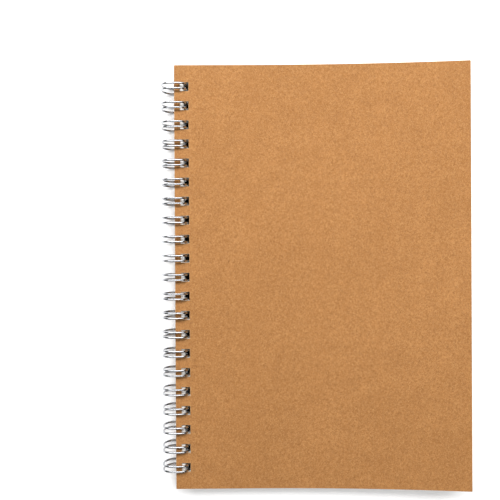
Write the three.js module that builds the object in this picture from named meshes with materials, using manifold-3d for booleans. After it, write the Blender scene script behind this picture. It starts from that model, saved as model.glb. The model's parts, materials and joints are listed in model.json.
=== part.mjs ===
import * as THREE from 'three';
import { mergeVertices } from 'three/addons/utils/BufferGeometryUtils.js';
import Module from 'manifold-3d';

// A twin-loop wire-bound sketchbook, lying closed on its back cover. Sizes are in millimetres.
// X runs from the binding to the free edge, Y up the page and Z up from the table.
// The plates hang on the rings of the wire, and everything turns about the rings' common axis.

// Covers: kraft board
const COVER_WIDTH = 130;
const COVER_HEIGHT = 188.5;
const COVER_THICKNESS = 0.8;
const CURL_START = 33;
const CURL_RISE = 6.2;
const CURL_STEPS = 10;

// Leaves: heavy drawing paper, cut a little smaller than the covers
const LEAF_COUNT = 30;
const LEAF_WIDTH = 128;
const LEAF_HEIGHT = 187.5;
const LEAF_THICKNESS = 0.16;
const SHEET_GAP = 0.02;

// Square punched holes, three to the inch
const LOOP_COUNT = 21;
const LOOP_PITCH = 25.4 / 3;
const HOLE_SIDE = 3.8;
const HOLE_MARGIN = 2.6;

// Where the bound edges hang, measured from the rings' axis
const COVER_EDGE = 0.1;
const LEAF_EDGE = 1.5;

// Binding wire, bent into hairpin fingers that are closed to rings
const WIRE_RADIUS = 0.475;
const WIRE_SIDES = 6;
const RING_RADIUS = 5.7;
const PRONG_SPACING = 2.3;
const ROOT_BEND_RADIUS = 1.0;
const ROOT_ANGLE = THREE.MathUtils.degToRad(-78);
const RING_SWEEP = THREE.MathUtils.degToRad(344);

// Steps along one finger of the wire
const BAR_STEPS = 1;
const BEND_STEPS = 2;
const PRONG_STEPS = 10;
const TIP_STEPS = 4;

const KRAFT = { color: 0xc88d56, roughness: 0.9, metalness: 0 };
const PAPER = { color: 0xf6f2e8, roughness: 0.85, metalness: 0 };
const WIRE = { color: 0xc9cbce, roughness: 0.25, metalness: 1 };

const STACK_HEIGHT = 2 * COVER_THICKNESS + LEAF_COUNT * LEAF_THICKNESS + (LEAF_COUNT + 1) * SHEET_GAP;
const RING_OUTER_RADIUS = RING_RADIUS + WIRE_RADIUS;

// The rings are taller than the stack, so the back cover slopes down to the table at its free edge
const STACK_TILT = Math.asin((RING_OUTER_RADIUS - STACK_HEIGHT / 2) / (COVER_EDGE + COVER_WIDTH));

const wasm = await Module();
wasm.setup();

function toSolid(geometry) {
  const bare = geometry.clone();
  bare.deleteAttribute('normal');
  bare.deleteAttribute('uv');
  const welded = mergeVertices(bare);
  return new wasm.Manifold(new wasm.Mesh({
    numProp: 3,
    vertProperties: new Float32Array(welded.attributes.position.array),
    triVerts: new Uint32Array(welded.index.array),
  }));
}

function toGeometry(solid) {
  const mesh = solid.getMesh();
  const geometry = new THREE.BufferGeometry();
  geometry.setAttribute('position', new THREE.BufferAttribute(new Float32Array(mesh.vertProperties), 3));
  geometry.setIndex(new THREE.BufferAttribute(new Uint32Array(mesh.triVerts), 1));
  geometry.computeVertexNormals();
  return geometry;
}

function namedMesh(name, geometry, look) {
  const mesh = new THREE.Mesh(geometry, new THREE.MeshStandardMaterial(look));
  mesh.name = name;
  return mesh;
}

// Height of loop number i above the middle of the page
function loopY(i) {
  return (i - (LOOP_COUNT - 1) / 2) * LOOP_PITCH;
}

// Rise of a curled plate at distance x from its bound edge
function curlHeight(x, rise) {
  const along = Math.max(0, (x - CURL_START) / (COVER_WIDTH - CURL_START));
  return rise * along * along;
}

// A plate with its bound edge at x = 0 and its lower face at z = 0 there.
// Its section is drawn in x and z, swept up the page, and then punched.
function punchedPlate(width, height, thickness, rise) {
  const stations = [0];
  if (rise > 0) {
    for (let i = 0; i < CURL_STEPS; i += 1) {
      stations.push(THREE.MathUtils.lerp(CURL_START, width, i / CURL_STEPS));
    }
  }
  stations.push(width);
  const lower = stations.map((x) => new THREE.Vector2(x, curlHeight(x, rise)));
  const upper = lower.map((p) => new THREE.Vector2(p.x, p.y + thickness)).reverse();
  const blank = new THREE.ExtrudeGeometry(new THREE.Shape([...lower, ...upper]), {
    depth: height,
    bevelEnabled: false,
  });
  blank.translate(0, 0, -height / 2);
  blank.rotateX(Math.PI / 2);

  const punch = new THREE.BoxGeometry(HOLE_SIDE, HOLE_SIDE, 4 * thickness);
  punch.translate(HOLE_MARGIN + HOLE_SIDE / 2, 0, thickness / 2);
  let plate = toSolid(blank);
  for (let i = 0; i < LOOP_COUNT; i += 1) {
    plate = plate.subtract(toSolid(punch.clone().translate(0, loopY(i), 0)));
  }
  return toGeometry(plate);
}

// The wire's centre line. It is drawn flat, with the distance round the ring as one coordinate and Y as
// the other, and rolled up on the rings' cylinder. Each finger is a bar along the root line, a bend, a
// prong out to the tip, a half-circle tip, a prong back and a bend. A last bar ends the wire.
class TwinLoopPath extends THREE.Curve {
  constructor() {
    super();
    const half = PRONG_SPACING / 2;
    const bend = ROOT_BEND_RADIUS;
    const reach = RING_RADIUS * RING_SWEEP;
    const bar = LOOP_PITCH - PRONG_SPACING - 2 * bend;
    const quarter = Math.PI / 2;
    this.pieces = [
      [BAR_STEPS, (f) => [0, -half - bend - bar * (1 - f)]],
      [BEND_STEPS, (f) => [bend * (1 - Math.cos(f * quarter)), -half - bend * (1 - Math.sin(f * quarter))]],
      [PRONG_STEPS, (f) => [THREE.MathUtils.lerp(bend, reach - half, f), -half]],
      [TIP_STEPS, (f) => [reach - half + half * Math.sin(f * Math.PI), -half * Math.cos(f * Math.PI)]],
      [PRONG_STEPS, (f) => [THREE.MathUtils.lerp(reach - half, bend, f), half]],
      [BEND_STEPS, (f) => [bend * (1 - Math.sin(f * quarter)), half + bend * (1 - Math.cos(f * quarter))]],
    ];
    this.stepsPerLoop = this.pieces.reduce((sum, [steps]) => sum + steps, 0);
    this.stepCount = LOOP_COUNT * this.stepsPerLoop + BAR_STEPS;
  }

  getPoint(t, target = new THREE.Vector3()) {
    const step = THREE.MathUtils.clamp(t, 0, 1) * this.stepCount;
    const loop = Math.floor(step / this.stepsPerLoop);
    let left = step - loop * this.stepsPerLoop;
    let piece = 0;
    while (left > this.pieces[piece][0]) {
      left -= this.pieces[piece][0];
      piece += 1;
    }
    const [steps, shape] = this.pieces[piece];
    const [around, across] = shape(left / steps);
    const angle = ROOT_ANGLE - around / RING_RADIUS;
    return target.set(RING_RADIUS * Math.cos(angle), loopY(loop) + across, RING_RADIUS * Math.sin(angle));
  }

  // Steps are counted by the parameter, so that tight bends get short steps
  getUtoTmapping(u) {
    return u;
  }
}

function twinLoopWire() {
  const path = new TwinLoopPath();
  const corners = [];
  for (let i = 0; i < WIRE_SIDES; i += 1) {
    const angle = (2 * Math.PI * i) / WIRE_SIDES;
    corners.push(new THREE.Vector2(WIRE_RADIUS * Math.cos(angle), WIRE_RADIUS * Math.sin(angle)));
  }
  return new THREE.ExtrudeGeometry(new THREE.Shape(corners), {
    steps: path.stepCount,
    extrudePath: path,
  });
}

const stack = new THREE.Group();
stack.rotation.y = STACK_TILT;

const backCover = namedMesh('back_cover', punchedPlate(COVER_WIDTH, COVER_HEIGHT, COVER_THICKNESS, 0), KRAFT);
backCover.position.set(COVER_EDGE, 0, -STACK_HEIGHT / 2);
stack.add(backCover);

const leafGeometry = punchedPlate(LEAF_WIDTH, LEAF_HEIGHT, LEAF_THICKNESS, 0);
const topLeafBase = STACK_HEIGHT / 2 - COVER_THICKNESS - SHEET_GAP - LEAF_THICKNESS;
for (let i = 0; i < LEAF_COUNT; i += 1) {
  const leaf = namedMesh(`leaf_${String(i + 1).padStart(2, '0')}`, leafGeometry, PAPER);
  leaf.position.set(LEAF_EDGE, 0, topLeafBase - i * (LEAF_THICKNESS + SHEET_GAP));
  stack.add(leaf);
}

const frontCover = namedMesh(
  'front_cover',
  punchedPlate(COVER_WIDTH, COVER_HEIGHT, COVER_THICKNESS, CURL_RISE),
  KRAFT,
);
frontCover.position.set(COVER_EDGE, 0, STACK_HEIGHT / 2 - COVER_THICKNESS);
stack.add(frontCover);

const book = new THREE.Group();
book.add(stack);
book.add(namedMesh('twin_loop_wire', twinLoopWire(), WIRE));

// The origin is under the middle of the book, at table height
book.updateMatrixWorld(true);
const extent = new THREE.Box3().setFromObject(book, true);
const middle = extent.getCenter(new THREE.Vector3());
book.position.set(-middle.x, -middle.y, -extent.min.z);

export default book;
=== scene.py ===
import json
import math
import random

import bmesh
import bpy
from mathutils import Matrix, Vector


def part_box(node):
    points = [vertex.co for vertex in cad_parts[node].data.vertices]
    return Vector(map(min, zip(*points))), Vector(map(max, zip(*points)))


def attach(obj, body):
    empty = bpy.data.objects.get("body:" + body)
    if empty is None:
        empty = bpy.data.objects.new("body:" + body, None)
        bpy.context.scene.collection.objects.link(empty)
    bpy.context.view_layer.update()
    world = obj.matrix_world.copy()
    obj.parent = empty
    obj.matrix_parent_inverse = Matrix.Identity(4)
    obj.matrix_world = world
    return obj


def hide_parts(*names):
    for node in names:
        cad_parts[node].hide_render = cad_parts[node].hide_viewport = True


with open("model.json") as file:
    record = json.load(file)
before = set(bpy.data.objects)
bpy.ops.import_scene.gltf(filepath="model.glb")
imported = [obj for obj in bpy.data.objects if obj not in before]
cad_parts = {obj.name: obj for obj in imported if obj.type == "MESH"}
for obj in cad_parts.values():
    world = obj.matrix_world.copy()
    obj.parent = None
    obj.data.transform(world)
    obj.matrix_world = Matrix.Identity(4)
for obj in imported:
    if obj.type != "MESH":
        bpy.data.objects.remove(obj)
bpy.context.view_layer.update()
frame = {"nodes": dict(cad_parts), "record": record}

# A twin-loop wire-bound sketchbook. Metres, in the CAD model's frame: X from the binding to the free
# edge, Y up the page, Z up from the table.

MM = 0.001
SEED = 21
TOUCH = 1e-7

# ---- what the CAD model says ---------------------------------------------------------------------

record = frame["record"]
hinge = next(j for j in record["behaviour"]["joints"] if j["name"] == "front_cover_turn")
RING_AXIS = Vector(hinge["pos_m"])
down = next(m for m in record["mounts"] if m["name"] == "back_cover_underside")["axis"]
TILT = math.atan2(-down[0], -down[2])
WIRE_BODY = "back_cover_and_wire"
LEAF_NAMES = sorted(n for n in frame["nodes"] if n.startswith("leaf_"))

# The closed stack's own frame: origin on the rings' axis, x along the covers and z square to them
STACK = Matrix.Translation(RING_AXIS) @ Matrix.Rotation(TILT, 4, "Y")

# ---- sizes shared with the CAD model -------------------------------------------------------------

LOOP_COUNT = 21
LOOP_PITCH = 25.4 / 3 * MM
HOLE_SIDE = 3.8 * MM
HOLE_MARGIN = 2.6 * MM
CURL_START = 33 * MM
WIRE_RADIUS = 0.475 * MM
RING_RADIUS = 5.7 * MM
PRONG_SPACING = 2.3 * MM
ROOT_BEND_RADIUS = 1.0 * MM
ROOT_ANGLE = math.radians(-78)
RING_SWEEP = math.radians(344)
FRONT_SHOULDER = 3.2
BACK_SHOULDER = 2.7

# ---- wear, unevenness and fineness of the visual shapes ------------------------------------------

GRID_STEP = 6 * MM
BOARD_CORNER = 0.3 * MM
BOARD_EDGE = 0.18 * MM
SHEET_CORNER = 0.2 * MM
SHEET_EDGE = 0.04 * MM
SHEET_LIFT = 1.4 * MM
SHEET_LIFT_RATIO = 0.55
SHEET_SHIFT_X = 0.05 * MM
SHEET_SHIFT_Y = 0.1 * MM
LOOP_SHIFT = 0.03 * MM
WIRE_SIDES = 14
WIRE_TIP_INSET = 0.12 * MM
WIRE_TIP_DEPTH = 0.1 * MM
BAR_STEPS, BEND_STEPS, PRONG_STEPS, TIP_STEPS = 3, 7, 56, 16

# ---- colours -------------------------------------------------------------------------------------

KRAFT = (0.428, 0.186, 0.050, 1)
KRAFT_LIGHT = (0.515, 0.233, 0.070, 1)
KRAFT_DARK = (0.335, 0.136, 0.033, 1)
# Cut edges: a paler kraft, made lighter still as a painted highlight along the boards' edges
RIM_WITH_HIGHLIGHT = (0.640, 0.440, 0.255, 1)
RIM_WITH_HIGHLIGHT_LIGHT = (0.720, 0.530, 0.340, 1)
RIM_WITH_HIGHLIGHT_DARK = (0.420, 0.260, 0.130, 1)
FIBRE_LIGHT = (0.560, 0.292, 0.104, 1)
FIBRE_DARK = (0.200, 0.080, 0.022, 1)
PAPER = (0.915, 0.903, 0.870, 1)
PAPER_LIGHT = (0.940, 0.932, 0.905, 1)
PAPER_TOOTH = (0.860, 0.842, 0.795, 1)
METAL = (0.55, 0.56, 0.58, 1)
METAL_DULL = (0.45, 0.46, 0.48, 1)
CARD = (0.93, 0.93, 0.93, 1)
CARD_LIGHT = (0.95, 0.95, 0.95, 1)
# Painted shadow: the near-black floor under the book
SHADOW_UNDER_BOOK = (0.02, 0.02, 0.02, 1)

# ---- studio --------------------------------------------------------------------------------------

FLOOR_HALF_SIZE = 2.0
# Painted light: the floor glows beyond the book's edge to lift the shadows beside it, and more far off
FLOOR_GLOW = 0.30
FLOOR_GLOW_FAR = 0.45
KEY_LOCATION = (0.03, 0.28, 0.50)
KEY_TARGET = (0.03, 0, 0)
KEY_WIDTH = 1.10
KEY_HEIGHT = 0.22
KEY_WATTS = 5.7
SKY_DIRECTION = (-0.10, 0.25, 0.96)
SKY_FACING = (0.50, 1.0)
SKY_STRENGTH = (0.02, 0.85)
BACKDROP_STRENGTH = 0.95
CAMERA_LENS = 45.5
CAMERA_LOCATION = (-25.03 * MM, 13.14 * MM, 289.92 * MM)
CAMERA_TURN = (-0.240, 0.712, -0.314)


def flat_plate(node):
    """Lower bound corner (x, z) in the stack's frame, width, height and thickness of a CAD plate."""
    low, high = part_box(node)
    c, s = math.cos(TILT), math.sin(TILT)
    dx, dz = high[0] - low[0], high[2] - low[2]
    width = (dx * c - dz * s) / (c * c - s * s)
    thickness = (dz * c - dx * s) / (c * c - s * s)
    corner = STACK.inverted() @ Vector((low[0], 0, high[2] - thickness * c))
    return corner.x, corner.z, width, high[1] - low[1], thickness


def loop_y(i):
    return (i - (LOOP_COUNT - 1) / 2) * LOOP_PITCH


# ---- shapes --------------------------------------------------------------------------------------


def new_object(name, mesh, material):
    obj = bpy.data.objects.new(name, mesh)
    bpy.context.scene.collection.objects.link(obj)
    mesh.materials.append(material)
    return obj


def spread(start, end, step):
    """Stations from start up to but not including end, about step apart."""
    count = max(1, round((end - start) / step))
    return [start + (end - start) * i / count for i in range(count)]


def plate_stations(width, height):
    """Grid stations of a punched plate, with a line on each side of every hole."""
    xs = [0, HOLE_MARGIN] + spread(HOLE_MARGIN + HOLE_SIDE, width, GRID_STEP) + [width]
    ys = []
    y = -height / 2
    for i in range(LOOP_COUNT):
        ys += spread(y, loop_y(i) - HOLE_SIDE / 2, GRID_STEP)
        ys.append(loop_y(i) - HOLE_SIDE / 2)
        y = loop_y(i) + HOLE_SIDE / 2
    ys += spread(y, height / 2, GRID_STEP) + [height / 2]
    return xs, ys


def plate_mesh(width, height, thickness, corner):
    """A flat plate with square holes down its bound edge and rounded outer corners."""
    xs, ys = plate_stations(width, height)
    hole_rows = {ys.index(loop_y(i) - HOLE_SIDE / 2) for i in range(LOOP_COUNT)}
    bm = bmesh.new()
    sides = []
    for z in (0, thickness):
        sides.append([[bm.verts.new((x, y, z)) for x in xs] for y in ys])
    low, high = sides
    # Sides of the filled cells that no other filled cell shares
    rims = {}
    for j in range(len(ys) - 1):
        for i in range(len(xs) - 1):
            if i == 1 and j in hole_rows:
                continue
            ring = [(j, i), (j, i + 1), (j + 1, i + 1), (j + 1, i)]
            bm.faces.new([high[a][b] for a, b in ring])
            bm.faces.new([low[a][b] for a, b in reversed(ring)])
            for start, end in zip(ring, ring[1:] + ring[:1]):
                if not rims.pop((end, start), False):
                    rims[start, end] = True
    for (ja, ia), (jb, ib) in rims:
        bm.faces.new((low[ja][ia], low[jb][ib], high[jb][ib], high[ja][ia]))

    def at_corner(edge):
        (x, y, z), other = edge.verts[0].co, edge.verts[1].co
        at_side = min(abs(x), abs(x - width)) < TOUCH and abs(abs(y) - height / 2) < TOUCH
        return at_side and abs(z - other.z) > thickness / 2

    corners = [e for e in bm.edges if at_corner(e)]
    bmesh.ops.bevel(bm, geom=corners, offset=corner, segments=4, affect="EDGES", profile=0.5)
    return bm


def punched_plate(name, width, height, thickness, rise_at, materials, corner, edge):
    """A thin punched plate. rise_at(x) lifts both faces. The second material is for the cut edges:
    paler kraft with a painted highlight along them.
    """
    bm = plate_mesh(width, height, thickness, corner)
    for v in bm.verts:
        v.co.z += rise_at(v.co.x)
    bm.normal_update()
    mesh = bpy.data.meshes.new(name)
    bm.to_mesh(mesh)
    bm.free()
    obj = new_object(name, mesh, materials[0])
    for cut in materials[1:]:
        mesh.materials.append(cut)
    rim = len(materials) - 1
    # The bevelled rim takes the cut-edge material: a paler cut edge with a painted highlight
    bevel = obj.modifiers.new("worn rim with painted highlight", "BEVEL")
    bevel.material = rim
    bevel.width = edge
    bevel.segments = 2
    bevel.limit_method = "ANGLE"
    bevel.angle_limit = math.radians(50)
    bevel.harden_normals = True
    for face in mesh.polygons:
        face.use_smooth = True
        face.material_index = rim if abs(face.normal.z) < 0.5 else 0
    return obj


def wire_path():
    """Points round the rings as (distance round the ring, y), with the same bends as the CAD wire."""
    half, bend = PRONG_SPACING / 2, ROOT_BEND_RADIUS
    reach = RING_RADIUS * RING_SWEEP
    bar = LOOP_PITCH - PRONG_SPACING - 2 * bend
    rng = random.Random(SEED)
    points = []
    for loop in range(LOOP_COUNT):
        centre = loop_y(loop) + rng.uniform(-1, 1) * LOOP_SHIFT
        finger = [(0, -half - bend - bar * (1 - i / BAR_STEPS)) for i in range(BAR_STEPS)]
        for i in range(BEND_STEPS):
            a = i / BEND_STEPS * math.pi / 2
            finger.append((bend * (1 - math.cos(a)), -half - bend * (1 - math.sin(a))))
        for i in range(PRONG_STEPS):
            finger.append((bend + (reach - half - bend) * i / PRONG_STEPS, -half))
        for i in range(TIP_STEPS):
            a = i / TIP_STEPS * math.pi
            finger.append((reach - half + half * math.sin(a), -half * math.cos(a)))
        for i in range(PRONG_STEPS):
            finger.append((reach - half + (bend - reach + half) * i / PRONG_STEPS, half))
        for i in range(BEND_STEPS):
            a = i / BEND_STEPS * math.pi / 2
            finger.append((bend * (1 - math.sin(a)), half + bend * (1 - math.cos(a))))
        points += [(u, centre + y) for u, y in finger]
    end = loop_y(LOOP_COUNT - 1) + half + bend
    points += [(0, end + bar * i / BAR_STEPS) for i in range(BAR_STEPS + 1)]
    return points


def ring_radius(angle):
    """Round below and flatter on top, with a squarer shoulder over the front cover's holes."""
    c, s = math.cos(angle), math.sin(angle)
    if s <= 0:
        return RING_RADIUS
    shoulder = FRONT_SHOULDER if c > 0 else BACK_SHOULDER
    return RING_RADIUS / (abs(c) ** shoulder + s ** shoulder) ** (1 / shoulder)


def twin_loop_wire(material):
    """The whole binding: one wire with round section and slightly rounded ends."""
    centres = []
    for around, y in wire_path():
        angle = ROOT_ANGLE - around / RING_RADIUS
        outward = Vector((math.cos(angle), 0, math.sin(angle)))
        centres.append((RING_AXIS + Vector((0, y, 0)) + outward * ring_radius(angle), outward))
    bm = bmesh.new()
    rings = []
    last = len(centres) - 1
    for n, (point, outward) in enumerate(centres):
        along = (centres[min(n + 1, last)][0] - centres[max(n - 1, 0)][0]).normalized()
        across = along.cross(outward).normalized()
        out = across.cross(along)
        ring = []
        for k in range(WIRE_SIDES):
            a = 2 * math.pi * k / WIRE_SIDES
            ring.append(bm.verts.new(point + WIRE_RADIUS * (math.cos(a) * out + math.sin(a) * across)))
        rings.append(ring)
    for a, b in zip(rings, rings[1:]):
        for k in range(WIRE_SIDES):
            bm.faces.new((a[k], a[(k + 1) % WIRE_SIDES], b[(k + 1) % WIRE_SIDES], b[k]))
    caps = [bm.faces.new(rings[0]), bm.faces.new(rings[-1])]
    bmesh.ops.recalc_face_normals(bm, faces=bm.faces)
    for cap in caps:
        bmesh.ops.inset_region(bm, faces=[cap], thickness=WIRE_TIP_INSET, depth=WIRE_TIP_DEPTH)
    mesh = bpy.data.meshes.new("binding_wire")
    bm.to_mesh(mesh)
    bm.free()
    for face in mesh.polygons:
        face.use_smooth = True
    return new_object("binding_wire", mesh, material)


# ---- materials -----------------------------------------------------------------------------------


def plug(tree, socket, value):
    """Links another node's output to a socket, or sets a plain value on it."""
    if isinstance(value, bpy.types.NodeSocket):
        tree.links.new(value, socket)
    else:
        socket.default_value = value


class Surface:
    """A node material under construction."""

    def __init__(self, name):
        self.material = bpy.data.materials.new(name)
        self.material.use_nodes = True
        self.tree = self.material.node_tree
        self.shader = self.tree.nodes["Principled BSDF"]
        self.where = self.tree.nodes.new("ShaderNodeTexCoord").outputs["Object"]

    def set(self, **values):
        for name, value in values.items():
            self.shader.inputs[name.replace("_", " ")].default_value = value

    def node(self, kind, settings=None, **inputs):
        node = self.tree.nodes.new(kind)
        for name, value in (settings or {}).items():
            setattr(node, name, value)
        for name, value in inputs.items():
            plug(self.tree, node.inputs[name.replace("_", " ")], value)
        return node

    def stretched(self, x, y, z, turn):
        """The object's coordinates, turned about Z and then multiplied by x, y and z."""
        node = self.node("ShaderNodeMapping", {"vector_type": "TEXTURE"}, Vector=self.where)
        node.inputs["Scale"].default_value = (1 / x, 1 / y, 1 / z)
        node.inputs["Rotation"].default_value = (0, 0, turn)
        return node.outputs["Vector"]

    def noise(self, scale, detail, roughness, vector=None):
        node = self.node("ShaderNodeTexNoise", Scale=scale, Detail=detail, Roughness=roughness,
                         Vector=vector or self.where)
        return node.outputs["Fac"]

    def band(self, value, low, high, out_low=0.0, out_high=1.0):
        """The value, stretched from low and high to out_low and out_high and held within them."""
        node = self.node("ShaderNodeMapRange", Value=value, From_Min=low, From_Max=high,
                         To_Min=out_low, To_Max=out_high)
        return node.outputs["Result"]

    def math(self, operation, a, b):
        node = self.node("ShaderNodeMath", {"operation": operation})
        for socket, value in zip(node.inputs, (a, b)):
            plug(self.tree, socket, value)
        return node.outputs[0]

    def mix(self, factor, a, b):
        node = self.node("ShaderNodeMix", {"data_type": "RGBA"})
        for index, value in ((0, factor), (6, a), (7, b)):
            plug(self.tree, node.inputs[index], value)
        return node.outputs[2]

    def link(self, value, name):
        self.tree.links.new(value, self.shader.inputs[name])

    def bump(self, height, strength, distance):
        node = self.node("ShaderNodeBump", Height=height, Strength=strength, Distance=distance)
        self.link(node.outputs["Normal"], "Normal")


def kraft_board(name, base, light, dark):
    """Clouded, mottled board with coarse and fine fibres in several directions."""
    s = Surface(name)
    cloud = s.noise(26, 4, 0.65)
    mottle = s.noise(120, 2, 0.5)
    pulp = s.noise(560, 3, 0.6)
    grain = s.noise(1050, 2, 0.7)
    colour = s.mix(s.band(cloud, 0.32, 0.68), base, light)
    colour = s.mix(s.band(mottle, 0.38, 0.66, 0.0, 0.38), colour, dark)
    colour = s.mix(s.band(pulp, 0.38, 0.68, 0.0, 0.55), colour, dark)
    colour = s.mix(s.band(grain, 0.42, 0.66, 0.0, 0.75), colour, dark)
    for turn in (0.2, 1.0, 1.8, 2.6):
        fibre = s.noise(1, 1, 0.5, s.stretched(2400, 550, 1000, turn))
        colour = s.mix(s.band(fibre, 0.62, 0.72, 0.0, 0.30), colour, FIBRE_LIGHT)
        colour = s.mix(s.band(fibre, 0.37, 0.27, 0.0, 0.30), colour, FIBRE_DARK)
    for turn in (0.6, 1.4, 2.2, 3.0):
        fibre = s.noise(1, 1, 0.5, s.stretched(7000, 1000, 3000, turn))
        colour = s.mix(s.band(fibre, 0.60, 0.68, 0.0, 0.45), colour, FIBRE_LIGHT)
        colour = s.mix(s.band(fibre, 0.40, 0.32, 0.0, 0.35), colour, FIBRE_DARK)
    s.link(colour, "Base Color")
    s.link(s.band(grain, 0.3, 0.7, 0.78, 0.94), "Roughness")
    s.bump(s.math("ADD", grain, pulp), 0.35, 0.00006)
    s.set(Specular_IOR_Level=0.5)
    return s.material


def drawing_paper():
    s = Surface("drawing_paper")
    tooth = s.noise(1500, 3, 0.6)
    cloud = s.noise(80, 2, 0.5)
    colour = s.mix(s.band(cloud, 0.3, 0.7), PAPER, PAPER_LIGHT)
    colour = s.mix(s.band(tooth, 0.4, 0.7, 0.0, 0.2), colour, PAPER_TOOTH)
    s.link(colour, "Base Color")
    s.link(s.band(tooth, 0.3, 0.7, 0.80, 0.95), "Roughness")
    s.bump(tooth, 0.3, 0.00004)
    s.set(Specular_IOR_Level=0.3)
    return s.material


def binding_metal():
    s = Surface("binding_wire")
    scuff = s.noise(700, 3, 0.6)
    colour = s.mix(s.band(scuff, 0.35, 0.7), METAL, METAL_DULL)
    s.link(colour, "Base Color")
    s.link(s.band(scuff, 0.3, 0.7, 0.08, 0.18), "Roughness")
    s.bump(scuff, 0.05, 0.00002)
    s.set(Metallic=1.0)
    return s.material


def floor_card():
    """A white card with painted light and shade: it glows outside the book, rising just beyond its
    edge and again far off, and under the book it is painted near black, a painted shadow that the
    holes show.
    """
    s = Surface("floor")
    cloud = s.noise(3, 2, 0.5)
    low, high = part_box("back_cover")
    part = s.node("ShaderNodeSeparateXYZ", Vector=s.where)
    beside = []
    for axis, (a, b) in enumerate(zip(low[:2], high[:2])):
        distance = s.math("ABSOLUTE", s.math("SUBTRACT", part.outputs[axis], (a + b) / 2), 0)
        beside.append(s.math("SUBTRACT", distance, (b - a) / 2))
    clear = s.math("MAXIMUM", *beside)
    # Painted light: the glow starts at the book's edge, lifting the shadows beside it, and grows far
    # off
    near = s.band(clear, -1 * MM, 4 * MM, 0.0, FLOOR_GLOW)
    far = s.band(clear, 150 * MM, 800 * MM, 0.0, FLOOR_GLOW_FAR)
    s.link(s.math("ADD", near, far), "Emission Strength")
    white = s.mix(cloud, CARD, CARD_LIGHT)
    # Painted shadow: the card is near black under the book, a few millimetres in from its edges
    shadow_patch = s.math("MAXIMUM", beside[0], s.math("ADD", beside[1], 5 * MM))
    s.link(s.mix(s.band(shadow_patch, -3 * MM, -1 * MM), SHADOW_UNDER_BOOK, white), "Base Color")
    s.set(Roughness=0.9, Specular_IOR_Level=0.1, Emission_Color=(1, 1, 1, 1))
    return s.material


# ---- the book ------------------------------------------------------------------------------------

kraft = kraft_board("kraft_board", KRAFT, KRAFT_LIGHT, KRAFT_DARK)
# The cut-edge kraft: its own paler tone plus a painted highlight
kraft_rim_highlight = kraft_board("kraft_edge_with_highlight", RIM_WITH_HIGHLIGHT, RIM_WITH_HIGHLIGHT_LIGHT, RIM_WITH_HIGHLIGHT_DARK)
paper = drawing_paper()
metal = binding_metal()
rng = random.Random(SEED)


def curl(width, rise):
    """How far a plate is lifted at x: a parabola from CURL_START to the free edge."""
    return lambda x: rise * max(0, (x - CURL_START) / (width - CURL_START)) ** 2


def place(obj, x, z, body, node):
    """Puts a plate made at the origin into the stack, ties it to its CAD body and hides its CAD node.
    """
    obj.data.transform(STACK @ Matrix.Translation((x, 0, z)))
    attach(obj, body)
    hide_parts(node)


x, z, width, height, thickness = flat_plate("back_cover")
board = (width, height, thickness)
flat = curl(width, 0)
back = punched_plate("back_board", *board, flat, (kraft, kraft_rim_highlight), BOARD_CORNER, BOARD_EDGE)
place(back, x, z, WIRE_BODY, "back_cover")

# The front cover is the back cover's mirror image across the rings' axis, curled up at its free edge
front_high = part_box("front_cover")[1]
rise = (front_high[2] - RING_AXIS.z + (x + width) * math.sin(TILT)) / math.cos(TILT) + z
curled = curl(width, rise)
front = punched_plate("front_board", *board, curled, (kraft, kraft_rim_highlight), BOARD_CORNER, BOARD_EDGE)
place(front, x, -z - thickness, "front_cover", "front_cover")

# The leaves follow the cover's curl a little, the top one most
for n, node in enumerate(LEAF_NAMES):
    x, z, *size = flat_plate(node)
    lifted = curl(size[0], SHEET_LIFT * SHEET_LIFT_RATIO ** n)
    leaf = punched_plate(f"sheet_{n + 1:02d}", *size, lifted, (paper,), SHEET_CORNER, SHEET_EDGE)
    leaf.data.transform(Matrix.Translation((0, rng.uniform(-1, 1) * SHEET_SHIFT_Y, 0)))
    place(leaf, x + rng.uniform(-1, 1) * SHEET_SHIFT_X, z, node, node)

wire = twin_loop_wire(metal)
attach(wire, WIRE_BODY)
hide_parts("twin_loop_wire")

# ---- floor, light and camera ---------------------------------------------------------------------


def floor():
    bm = bmesh.new()
    bmesh.ops.create_grid(bm, x_segments=8, y_segments=8, size=FLOOR_HALF_SIZE)
    mesh = bpy.data.meshes.new("floor")
    bm.to_mesh(mesh)
    bm.free()
    return new_object("floor", mesh, floor_card())


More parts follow.
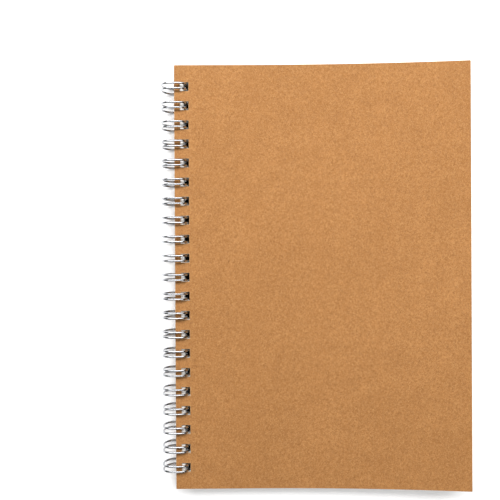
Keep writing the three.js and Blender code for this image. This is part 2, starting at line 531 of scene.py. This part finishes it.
def area_light(name, location, target, width, height, watts):
    """A softbox, width along X, facing the target."""
    data = bpy.data.lights.new(name, "AREA")
    data.shape = "RECTANGLE"
    data.size = width
    data.size_y = height
    data.energy = watts
    obj = bpy.data.objects.new(name, data)
    bpy.context.scene.collection.objects.link(obj)
    obj.location = location
    obj.rotation_euler = (Vector(target) - Vector(location)).to_track_quat("-Z", "Y").to_euler()
    return obj


def studio_world():
    """Bright overhead and dark at the horizon, so that metal shows both. Seen directly it is pale."""
    world = bpy.data.worlds.new("studio")
    world.use_nodes = True
    tree = world.node_tree
    background = tree.nodes["Background"]
    direction = tree.nodes.new("ShaderNodeTexCoord").outputs["Generated"]
    facing = tree.nodes.new("ShaderNodeVectorMath")
    facing.operation = "DOT_PRODUCT"
    facing.inputs[1].default_value = SKY_DIRECTION
    tree.links.new(direction, facing.inputs[0])
    level = tree.nodes.new("ShaderNodeMapRange")
    ends = ("From Min", "From Max", "To Min", "To Max")
    for end, value in zip(ends, SKY_FACING + SKY_STRENGTH):
        level.inputs[end].default_value = value
    tree.links.new(facing.outputs["Value"], level.inputs["Value"])
    seen = tree.nodes.new("ShaderNodeLightPath")
    pick = tree.nodes.new("ShaderNodeMix")
    tree.links.new(seen.outputs["Is Camera Ray"], pick.inputs[0])
    tree.links.new(level.outputs["Result"], pick.inputs[2])
    pick.inputs[3].default_value = BACKDROP_STRENGTH
    tree.links.new(pick.outputs[0], background.inputs["Strength"])
    background.inputs["Color"].default_value = (1, 1, 1, 1)
    bpy.context.scene.world = world


def studio():
    floor()
    studio_world()
    area_light("key", KEY_LOCATION, KEY_TARGET, KEY_WIDTH, KEY_HEIGHT, KEY_WATTS)
    bpy.context.scene.view_settings.view_transform = "Standard"


def camera():
    data = bpy.data.cameras.new("camera")
    data.lens = CAMERA_LENS
    data.sensor_width = 36
    data.clip_start = 0.01
    obj = bpy.data.objects.new("camera", data)
    bpy.context.scene.collection.objects.link(obj)
    obj.location = CAMERA_LOCATION
    obj.rotation_euler = [math.radians(v) for v in CAMERA_TURN]
    bpy.context.scene.camera = obj


studio()
camera()
